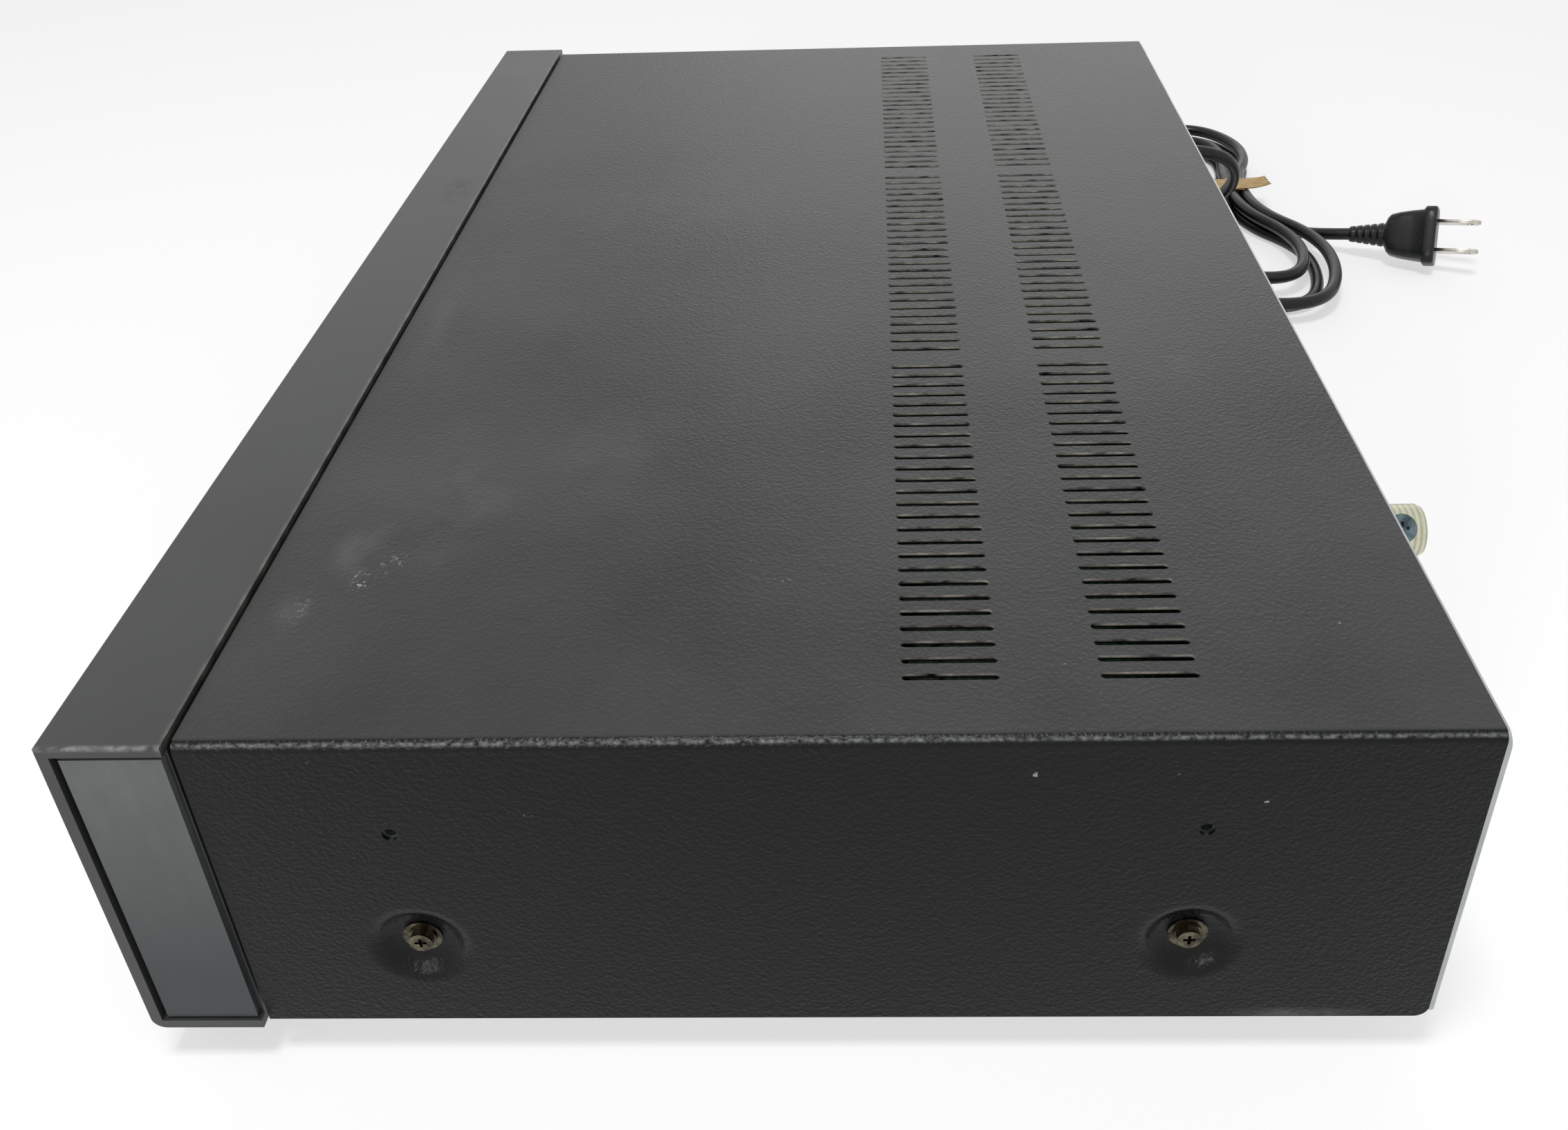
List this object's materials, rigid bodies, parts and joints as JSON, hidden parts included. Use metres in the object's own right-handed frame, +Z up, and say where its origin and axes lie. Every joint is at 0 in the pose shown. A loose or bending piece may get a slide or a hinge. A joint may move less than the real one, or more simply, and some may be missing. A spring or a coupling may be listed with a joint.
{
  "type": "cd recorder",
  "caption": "Full-width hi-fi disc recorder with a black steel cover, thick front bezel, sliding disc tray and a tied mains cord.",
  "frame": {"origin": "centre of the box round the recorder without its mains cord, on the surface that the feet stand on", "axes": "+X to the right seen from the front, along the longest side; the front faces -Y; +Z up, the shortest side"},
  "size_m": [0.5504, 0.439, 0.0954],
  "materials": {
    "plated_steel": "zinc plated sheet, satin",
    "grained_paint": "black leather-grain baked paint",
    "bezel_plastic": "satin black moulded plastic",
    "trim_metal": "satin dark grey paint",
    "black_plastic": "matt black moulded plastic",
    "felt_pad": "dark soft pad",
    "nickel_steel": "dull nickel plate",
    "nickel_post": "turned and nickel plated",
    "smoked_window": "smoked, glossy",
    "display_glass": "dark display glass",
    "circuit_board": "board with components",
    "button_plastic": "satin black",
    "knob_plastic": "satin black",
    "brass_metal": "turned",
    "rubber_black": "matt",
    "white_plastic": "natural acetal",
    "pickup_metal": "die cast",
    "core_steel": "varnished laminations",
    "cord_vinyl": "black vinyl",
    "tie_paper": "tan band"
  },
  "bodies": {
    "casing": {"chassis_base": "plated_steel", "rear_panel": "plated_steel", "top_cover": "grained_paint", "front_panel": "bezel_plastic", "side_trims": "trim_metal", "feet": "black_plastic", "foot_pads": "felt_pad", "foot_screws": "plated_steel", "cover_screws": "nickel_steel", "rear_post": "nickel_post", "rear_post_screw": "plated_steel", "display_window": "smoked_window", "display_module": "display_glass", "front_board": "circuit_board", "front_switches": "black_plastic", "phones_socket": "black_plastic", "loader_frame": "black_plastic", "loader_motor": "plated_steel", "drive_belt": "rubber_black", "clamp_bridge": "plated_steel", "main_board": "circuit_board", "power_board": "circuit_board", "transformer": "core_steel", "line_jacks": "nickel_steel", "digital_jacks": "nickel_steel", "cord_gland": "black_plastic", "power_cord": "cord_vinyl", "cord_hank": "cord_vinyl", "cord_tail": "cord_vinyl", "cord_tie": "tie_paper", "plug_body": "cord_vinyl", "plug_blades": "nickel_steel"},
    "tray": {"disc_tray": "black_plastic", "tray_front": "bezel_plastic"},
    "tray_gear": {"tray_gear": "white_plastic"},
    "pulley_gear": {"pulley_gear": "white_plastic"},
    "motor_pulley": {"motor_pulley": "brass_metal"},
    "cam_slider": {"cam_slider": "white_plastic"},
    "lift": {"lift_frame": "black_plastic", "traverse_plate": "plated_steel", "traverse_dampers": "rubber_black", "spindle_motor": "plated_steel", "guide_rods": "nickel_steel", "sled_motor": "plated_steel"},
    "turntable": {"turntable": "black_plastic"},
    "clamper": {"disc_clamper": "black_plastic"},
    "pickup": {"optical_pickup": "pickup_metal"},
    "lead_screw": {"lead_screw": "nickel_steel"},
    "skip_rocker": {"skip_rocker": "button_plastic"},
    "record_level": {"record_level_knob": "knob_plastic"},
    "phones_level": {"phones_level_knob": "knob_plastic"},
    "power_button": {"power_button": "button_plastic"},
    "open_button": {"open_button": "button_plastic"},
    "play_button": {"play_button": "button_plastic"},
    "pause_button": {"pause_button": "button_plastic"},
    "stop_button": {"stop_button": "button_plastic"},
    "record_button": {"record_button": "button_plastic"},
    "finalize_button": {"finalize_button": "button_plastic"},
    "erase_button": {"erase_button": "button_plastic"},
    "input_button": {"input_button": "button_plastic"}
  },
  "joints": [
    {"name": "tray_slide", "type": "slide", "parent": "casing", "child": "tray", "axis": [0, -1, 0], "range_m": [0, 0.14]},
    {"name": "tray_gear_spin", "type": "hinge", "parent": "casing", "child": "tray_gear", "pos_m": [-0.006, -0.097, 0.063], "axis": [0, 0, 1], "range_deg": [-810, 5]},
    {"name": "pulley_gear_spin", "type": "hinge", "parent": "casing", "child": "pulley_gear", "pos_m": [-0.023, -0.097, 0.06], "axis": [0, 0, 1], "range_deg": [-5, 1930]},
    {"name": "motor_pulley_spin", "type": "hinge", "parent": "casing", "child": "motor_pulley", "pos_m": [-0.085, -0.097, 0.057], "axis": [0, 0, 1], "range_deg": [-5, 7150]},
    {"name": "lift_tilt", "type": "hinge", "parent": "casing", "child": "lift", "pos_m": [-0.052, 0.058, 0.052], "axis": [1, 0, 0], "range_deg": [0, 3.13]},
    {"name": "cam_slide", "type": "slide", "parent": "casing", "child": "cam_slider", "axis": [-1, 0, 0], "range_m": [0, 0.018]},
    {"name": "disc_spin", "type": "hinge", "parent": "lift", "child": "turntable", "pos_m": [-0.052, -0.064, 0.07], "axis": [0, 0, 1], "continuous": true},
    {"name": "clamper_spin", "type": "hinge", "parent": "casing", "child": "clamper", "pos_m": [-0.052, -0.064, 0.083], "axis": [0, 0, 1], "continuous": true},
    {"name": "pickup_slide", "type": "slide", "parent": "lift", "child": "pickup", "axis": [0, 1, 0], "range_m": [0, 0.033]},
    {"name": "lead_screw_spin", "type": "hinge", "parent": "lift", "child": "lead_screw", "pos_m": [-0.014, -0.014, 0.0627], "axis": [0, 1, 0], "range_deg": [-5, 3965]},
    {"name": "power_button_press", "type": "slide", "parent": "casing", "child": "power_button", "axis": [0, 1, 0], "range_m": [0, 0.0008], "stiffness_N_per_m": 600, "springref_m": -0.0005},
    {"name": "open_button_press", "type": "slide", "parent": "casing", "child": "open_button", "axis": [0, 1, 0], "range_m": [0, 0.0008], "stiffness_N_per_m": 600, "springref_m": -0.0005},
    {"name": "play_button_press", "type": "slide", "parent": "casing", "child": "play_button", "axis": [0, 1, 0], "range_m": [0, 0.0008], "stiffness_N_per_m": 600, "springref_m": -0.0005},
    {"name": "pause_button_press", "type": "slide", "parent": "casing", "child": "pause_button", "axis": [0, 1, 0], "range_m": [0, 0.0008], "stiffness_N_per_m": 600, "springref_m": -0.0005},
    {"name": "stop_button_press", "type": "slide", "parent": "casing", "child": "stop_button", "axis": [0, 1, 0], "range_m": [0, 0.0008], "stiffness_N_per_m": 600, "springref_m": -0.0005},
    {"name": "record_button_press", "type": "slide", "parent": "casing", "child": "record_button", "axis": [0, 1, 0], "range_m": [0, 0.0008], "stiffness_N_per_m": 600, "springref_m": -0.0005},
    {"name": "finalize_button_press", "type": "slide", "parent": "casing", "child": "finalize_button", "axis": [0, 1, 0], "range_m": [0, 0.0008], "stiffness_N_per_m": 600, "springref_m": -0.0005},
    {"name": "erase_button_press", "type": "slide", "parent": "casing", "child": "erase_button", "axis": [0, 1, 0], "range_m": [0, 0.0008], "stiffness_N_per_m": 600, "springref_m": -0.0005},
    {"name": "input_button_press", "type": "slide", "parent": "casing", "child": "input_button", "axis": [0, 1, 0], "range_m": [0, 0.0008], "stiffness_N_per_m": 600, "springref_m": -0.0005},
    {"name": "skip_rock", "type": "hinge", "parent": "casing", "child": "skip_rocker", "pos_m": [-0.092, -0.134, 0.029], "axis": [0, 0, 1], "range_deg": [-2.5, 2.5], "stiffness_Nm_per_rad": 0.4},
    {"name": "record_level_turn", "type": "hinge", "parent": "casing", "child": "record_level", "pos_m": [0.182, -0.14, 0.06], "axis": [0, -1, 0], "range_deg": [-150, 150]},
    {"name": "phones_level_turn", "type": "hinge", "parent": "casing", "child": "phones_level", "pos_m": [-0.16, -0.14, 0.031], "axis": [0, -1, 0], "range_deg": [-150, 150]}
  ],
  "couplings": [
    {"joint": "tray_gear_spin", "follows": "tray_slide", "rad_per_m": -100},
    {"joint": "pulley_gear_spin", "follows": "tray_slide", "rad_per_m": 240},
    {"joint": "motor_pulley_spin", "follows": "tray_slide", "rad_per_m": 889.41},
    {"joint": "cam_slide", "follows": "lift_tilt", "m_per_rad": 0.3294},
    {"joint": "clamper_spin", "follows": "disc_spin", "ratio": 1},
    {"joint": "lead_screw_spin", "follows": "pickup_slide", "rad_per_m": 2094.4}
  ]
}
